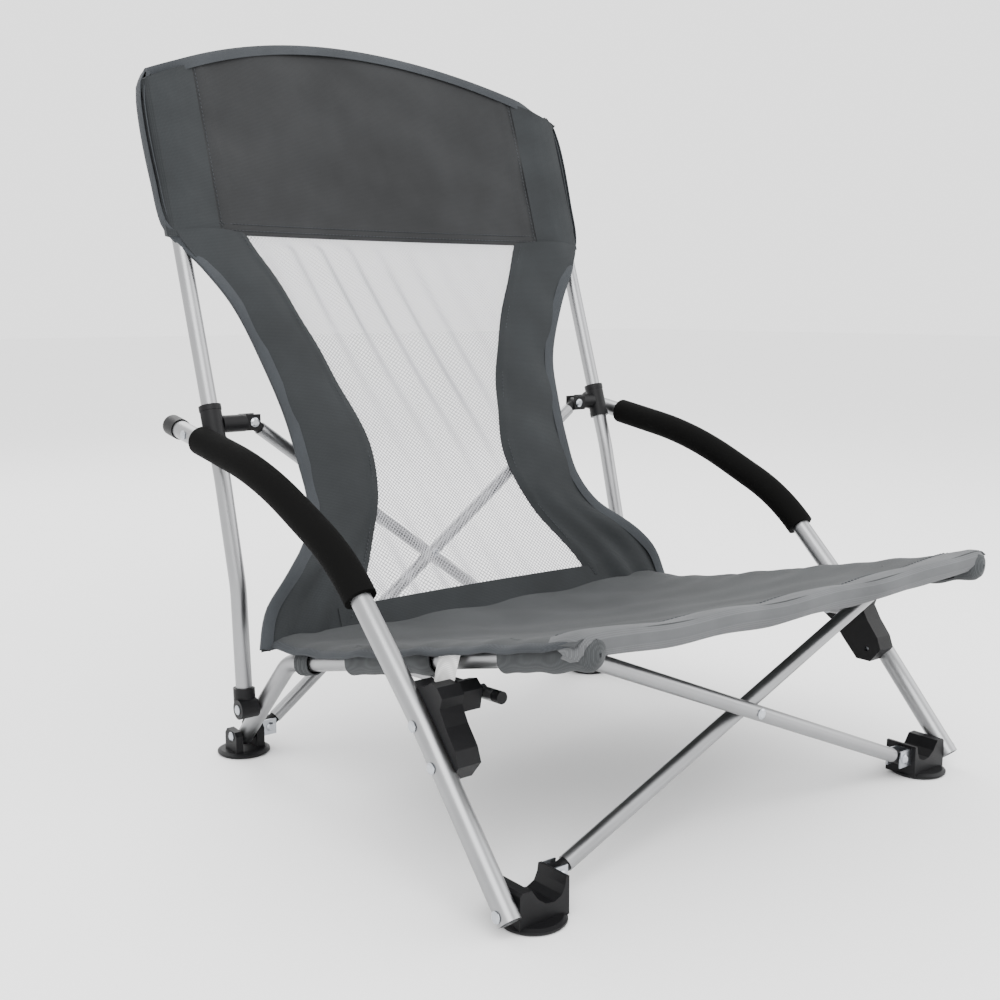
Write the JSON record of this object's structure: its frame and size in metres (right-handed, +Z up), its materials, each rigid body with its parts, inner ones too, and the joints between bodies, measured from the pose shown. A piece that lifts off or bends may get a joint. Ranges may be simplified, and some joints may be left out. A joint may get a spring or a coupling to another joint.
{
  "type": "folding camp chair",
  "caption": "Low folding camp chair with bent side tubes, crossed bars front and back, foam arm grips and a slung fabric seat and back.",
  "frame": {"origin": "on the floor under the centre of the chair's bounding box", "axes": "+X across the chair, -Y the open front of the seat, +Z up"},
  "size_m": [0.5462, 0.6333, 0.6905],
  "materials": {
    "silver_tube": "satin silver powder coat",
    "zinc_steel": "zinc plated",
    "black_plastic": "fine moulded texture",
    "grip_foam": "closed-cell foam",
    "seat_cloth": "coated polyester",
    "back_cloth": "coated polyester",
    "mesh_cloth": "open polyester mesh",
    "edge_tape": "woven binding tape",
    "label_cloth": "plain satin ribbon"
  },
  "bodies": {
    "front_foot_left": {"front_foot_left": "black_plastic", "front_foot_clevis_left": "zinc_steel", "front_foot_rivets_left": "zinc_steel"},
    "front_foot_right": {"front_foot_right": "black_plastic", "front_foot_clevis_right": "zinc_steel", "front_foot_rivets_right": "zinc_steel"},
    "front_bar_a": {"front_bar_a": "silver_tube", "front_bar_a_plugs": "black_plastic", "front_cross_rivet": "zinc_steel"},
    "front_bar_b": {"front_bar_b": "silver_tube", "front_bar_b_plugs": "black_plastic"},
    "back_bar_a": {"back_bar_a": "silver_tube", "back_bar_a_plugs": "black_plastic"},
    "back_bar_b": {"back_bar_b": "silver_tube", "back_bar_b_plugs": "black_plastic", "back_bar_rivets": "zinc_steel"},
    "rear_clevis_right": {"rear_foot_clevis_right": "zinc_steel"},
    "arm_left": {"arm_tube_left": "silver_tube", "arm_grip_left": "grip_foam", "arm_end_cap_left": "black_plastic", "side_bracket_left": "black_plastic", "arm_rivets_left": "zinc_steel", "strut_tube_left": "silver_tube", "strut_caps_left": "black_plastic", "strut_rivet_left": "zinc_steel"},
    "seat_tube_left": {"seat_side_tube_left": "silver_tube", "seat_fabric": "seat_cloth"},
    "upright_left": {"upright_tube_left": "silver_tube", "upright_fitting_left": "black_plastic", "upright_rivet_left": "zinc_steel", "back_fabric": "back_cloth"},
    "collar_left": {"slide_collar_left": "black_plastic"},
    "front_hub_left": {"front_hub_left": "black_plastic", "front_hub_clevis_left": "black_plastic", "front_hub_pin_left": "zinc_steel"},
    "collar_clevis_left": {"collar_clevis_left": "black_plastic", "collar_pin_left": "zinc_steel"},
    "arm_right": {"arm_tube_right": "silver_tube", "arm_grip_right": "grip_foam", "arm_end_cap_right": "black_plastic", "side_bracket_right": "black_plastic", "arm_rivets_right": "zinc_steel", "strut_tube_right": "silver_tube", "strut_caps_right": "black_plastic", "strut_rivet_right": "zinc_steel"},
    "seat_tube_right": {"seat_side_tube_right": "silver_tube"},
    "upright_right": {"upright_tube_right": "silver_tube", "upright_fitting_right": "black_plastic", "upright_rivet_right": "zinc_steel"},
    "collar_right": {"slide_collar_right": "black_plastic"},
    "front_hub_right": {"front_hub_right": "black_plastic", "front_hub_clevis_right": "black_plastic", "front_hub_pin_right": "zinc_steel"},
    "collar_clevis_right": {"collar_clevis_right": "black_plastic", "collar_pin_right": "zinc_steel"},
    "rear_foot_left": {"rear_foot_left": "black_plastic", "rear_foot_clevis_left": "zinc_steel", "rear_foot_rivets_left": "zinc_steel"},
    "rear_foot_right": {"rear_foot_right": "black_plastic", "rear_foot_rivets_right": "zinc_steel"}
  },
  "joints": [
    {"name": "fold", "type": "hinge", "parent": "front_foot_left", "child": "arm_left", "pos_m": [-0.26, -0.272, 0.017], "axis": [1, 0, 0], "range_deg": [0, 31.34], "deforming": ["seat_fabric", "back_fabric"]},
    {"name": "seat_tube_fold_left", "type": "hinge", "parent": "arm_left", "child": "seat_tube_left", "pos_m": [-0.223, -0.03861, 0.13344], "axis": [1, 0, 0], "range_deg": [-73.14, 0]},
    {"name": "rear_foot_turn_left", "type": "hinge", "parent": "seat_tube_left", "child": "rear_foot_left", "pos_m": [-0.223, 0.162, 0.019], "axis": [1, 0, 0], "range_deg": [0, 41.8]},
    {"name": "upright_fold_left", "type": "hinge", "parent": "seat_tube_left", "child": "upright_left", "pos_m": [-0.239, 0.1259, 0.056], "axis": [1, 0, 0], "range_deg": [0, 52.98]},
    {"name": "collar_slide_left", "type": "slide", "parent": "upright_left", "child": "collar_left", "axis": [0, 0.3076, 0.9515], "range_m": [0, 0.17372]},
    {"name": "arm_fold_right", "type": "hinge", "parent": "front_foot_right", "child": "arm_right", "pos_m": [0.26, -0.272, 0.017], "axis": [1, 0, 0], "range_deg": [0, 31.36]},
    {"name": "seat_tube_fold_right", "type": "hinge", "parent": "arm_right", "child": "seat_tube_right", "pos_m": [0.223, -0.03861, 0.13344], "axis": [1, 0, 0], "range_deg": [-73.14, 0]},
    {"name": "rear_foot_turn_right", "type": "hinge", "parent": "seat_tube_right", "child": "rear_foot_right", "pos_m": [0.223, 0.162, 0.019], "axis": [1, 0, 0], "range_deg": [0, 41.8]},
    {"name": "upright_fold_right", "type": "hinge", "parent": "seat_tube_right", "child": "upright_right", "pos_m": [0.239, 0.1259, 0.056], "axis": [1, 0, 0], "range_deg": [0, 52.98]},
    {"name": "collar_slide_right", "type": "slide", "parent": "upright_right", "child": "collar_right", "axis": [0, 0.3076, 0.9515], "range_m": [0, 0.17372]},
    {"name": "front_bar_a_turn", "type": "hinge", "parent": "front_foot_left", "child": "front_bar_a", "pos_m": [-0.1975, -0.25, 0.02], "axis": [0, -1, 0], "range_deg": [0, 56.01]},
    {"name": "front_cross_turn", "type": "hinge", "parent": "front_bar_a", "child": "front_bar_b", "pos_m": [0, -0.257, 0.102], "axis": [0, -1, 0], "range_deg": [-112, 0]},
    {"name": "front_foot_right_turn", "type": "hinge", "parent": "front_bar_b", "child": "front_foot_right", "pos_m": [0.1975, -0.264, 0.02], "axis": [0, -1, 0], "range_deg": [0, 56.01]},
    {"name": "front_hub_turn_right", "type": "hinge", "parent": "front_bar_a", "child": "front_hub_right", "pos_m": [0.1975, -0.25, 0.184], "axis": [0, -1, 0], "range_deg": [-56.01, 0]},
    {"name": "front_hub_turn_left", "type": "hinge", "parent": "front_bar_b", "child": "front_hub_left", "pos_m": [-0.1975, -0.264, 0.184], "axis": [0, -1, 0], "range_deg": [0, 56.01]},
    {"name": "back_bar_a_turn", "type": "hinge", "parent": "rear_foot_left", "child": "back_bar_a", "pos_m": [-0.1975, 0.169, 0.02], "axis": [0, -1, 0], "range_deg": [0, 43.66]},
    {"name": "back_cross_turn", "type": "hinge", "parent": "back_bar_a", "child": "back_bar_b", "pos_m": [0, 0.176, 0.1655], "axis": [0, -1, 0], "range_deg": [-87.31, 0]},
    {"name": "rear_clevis_turn_right", "type": "hinge", "parent": "back_bar_b", "child": "rear_clevis_right", "pos_m": [0.1975, 0.183, 0.02], "axis": [0, -1, 0], "range_deg": [0, 43.66]},
    {"name": "collar_clevis_turn_right", "type": "hinge", "parent": "back_bar_a", "child": "collar_clevis_right", "pos_m": [0.1975, 0.169, 0.311], "axis": [0, -1, 0], "range_deg": [-43.66, 0]},
    {"name": "collar_clevis_turn_left", "type": "hinge", "parent": "back_bar_b", "child": "collar_clevis_left", "pos_m": [-0.1975, 0.183, 0.311], "axis": [0, -1, 0], "range_deg": [0, 43.66]}
  ],
  "couplings": [
    {"joint": "seat_tube_fold_left", "follows": "fold", "ratio": -2.3332},
    {"joint": "rear_foot_turn_left", "follows": "fold", "ratio": 1.3332},
    {"joint": "upright_fold_left", "follows": "fold", "ratio": 1.6899},
    {"joint": "collar_slide_left", "follows": "fold", "m_per_rad": 0.31727},
    {"joint": "arm_fold_right", "follows": "fold", "ratio": 1},
    {"joint": "seat_tube_fold_right", "follows": "fold", "ratio": -2.3332},
    {"joint": "rear_foot_turn_right", "follows": "fold", "ratio": 1.3332},
    {"joint": "upright_fold_right", "follows": "fold", "ratio": 1.6899},
    {"joint": "collar_slide_right", "follows": "fold", "m_per_rad": 0.31727},
    {"joint": "front_bar_a_turn", "follows": "fold", "ratio": 1.7867},
    {"joint": "front_cross_turn", "follows": "fold", "ratio": -3.5734},
    {"joint": "front_foot_right_turn", "follows": "fold", "ratio": 1.7867},
    {"joint": "front_hub_turn_right", "follows": "fold", "ratio": -1.7867},
    {"joint": "front_hub_turn_left", "follows": "fold", "ratio": 1.7867},
    {"joint": "back_bar_a_turn", "follows": "fold", "ratio": 1.3927},
    {"joint": "back_cross_turn", "follows": "fold", "ratio": -2.7855},
    {"joint": "rear_clevis_turn_right", "follows": "fold", "ratio": 1.3927},
    {"joint": "collar_clevis_turn_right", "follows": "fold", "ratio": -1.3927},
    {"joint": "collar_clevis_turn_left", "follows": "fold", "ratio": 1.3927}
  ]
}
